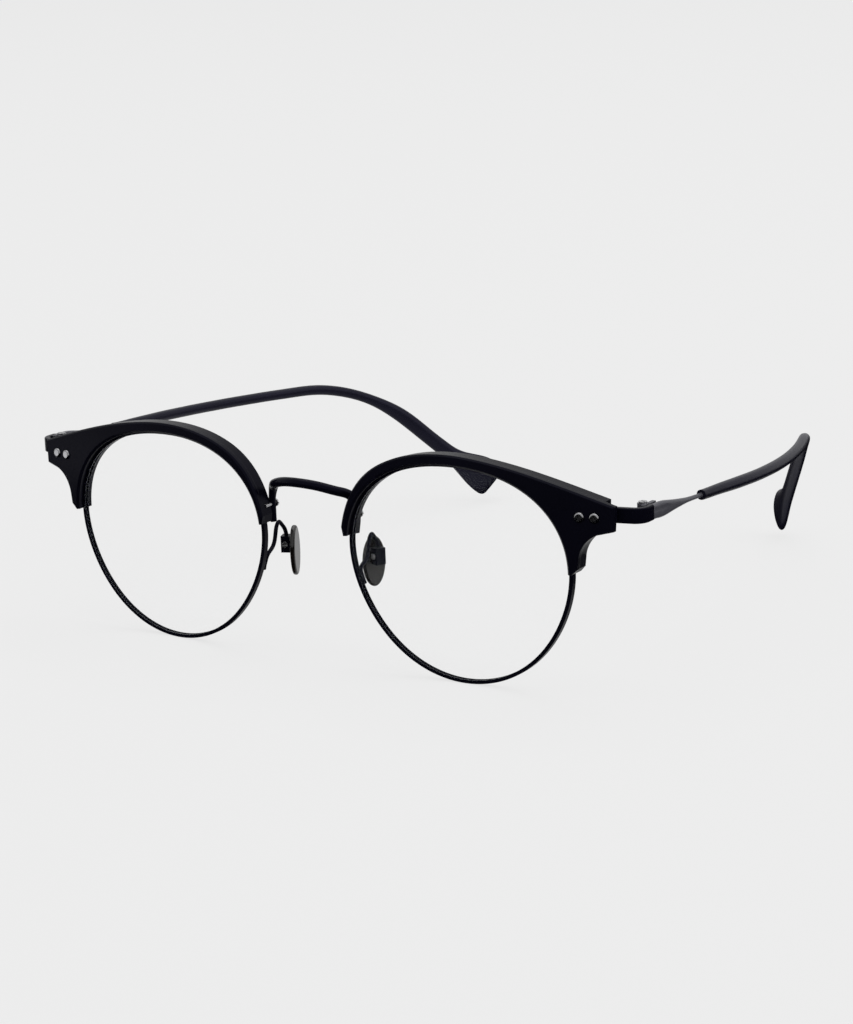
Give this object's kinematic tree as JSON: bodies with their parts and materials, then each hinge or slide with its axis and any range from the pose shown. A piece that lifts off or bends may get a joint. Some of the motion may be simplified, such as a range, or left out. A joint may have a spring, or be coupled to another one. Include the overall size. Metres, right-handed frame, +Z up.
{
  "type": "browline glasses",
  "caption": "Browline glasses with black brow pieces over thin metal rims, rocking nose pads on bent arms, barrel hinges and slim curved temples that fold in.",
  "frame": {"origin": "centre of the footprint of the opened glasses, at the level of the rims' lowest points", "axes": "+X to the wearer's left, -Y the way the lenses look, +Z up"},
  "size_m": [0.1476, 0.1344, 0.0461],
  "materials": {
    "frame_metal": "satin black",
    "strip_metal": "satin dark grey",
    "brow_plastic": "satin black",
    "sleeve_plastic": "satin black",
    "rivet_metal": "polished",
    "screw_metal": "brushed",
    "washer_plastic": "matte",
    "pad_plastic": "glossy black",
    "lens_glass": "clear"
  },
  "bodies": {
    "front": {"bridge": "frame_metal", "rim_left": "frame_metal", "rim_right": "frame_metal", "lens_left": "lens_glass", "lens_right": "lens_glass", "brow_left": "brow_plastic", "brow_right": "brow_plastic", "brow_rivets_left": "rivet_metal", "brow_rivets_right": "rivet_metal", "brow_screw_left": "screw_metal", "brow_screw_right": "screw_metal", "endpiece_left": "frame_metal", "endpiece_right": "frame_metal", "rim_lock_upper_left": "frame_metal", "rim_lock_upper_right": "frame_metal", "rim_lock_lower_left": "frame_metal", "rim_lock_lower_right": "frame_metal", "rim_lock_screw_left": "screw_metal", "rim_lock_screw_right": "screw_metal", "hinge_front_left": "strip_metal", "hinge_front_right": "strip_metal", "hinge_washers_left": "washer_plastic", "hinge_washers_right": "washer_plastic", "hinge_screw_left": "screw_metal", "hinge_screw_right": "screw_metal", "pad_box_left": "frame_metal", "pad_box_right": "frame_metal", "pad_screw_left": "screw_metal", "pad_screw_right": "screw_metal", "pad_arm_left": "frame_metal", "pad_arm_right": "frame_metal"},
    "temple_left": {"temple_left": "strip_metal", "temple_sleeve_left": "sleeve_plastic", "hinge_temple_left": "strip_metal"},
    "nose_pad_left": {"nose_pad_left": "pad_plastic", "pad_core_left": "screw_metal"},
    "temple_right": {"temple_right": "strip_metal", "temple_sleeve_right": "sleeve_plastic", "hinge_temple_right": "strip_metal"},
    "nose_pad_right": {"nose_pad_right": "pad_plastic", "pad_core_right": "screw_metal"}
  },
  "joints": [
    {"name": "temple_fold_left", "type": "hinge", "parent": "front", "child": "temple_left", "pos_m": [0.0709, -0.0537, 0.03645], "axis": [0, 0, 1], "range_deg": [0, 75]},
    {"name": "temple_fold_right", "type": "hinge", "parent": "front", "child": "temple_right", "pos_m": [-0.0709, -0.0537, 0.03645], "axis": [0, 0, -1], "range_deg": [0, 70]},
    {"name": "pad_rock_left", "type": "hinge", "parent": "front", "child": "nose_pad_left", "pos_m": [0.01132, -0.05549, 0.02125], "axis": [0.3746, 0.9272, 0], "range_deg": [-10, 10]},
    {"name": "pad_rock_right", "type": "hinge", "parent": "front", "child": "nose_pad_right", "pos_m": [-0.01132, -0.05549, 0.02125], "axis": [0.3746, -0.9272, 0], "range_deg": [-10, 10]}
  ]
}
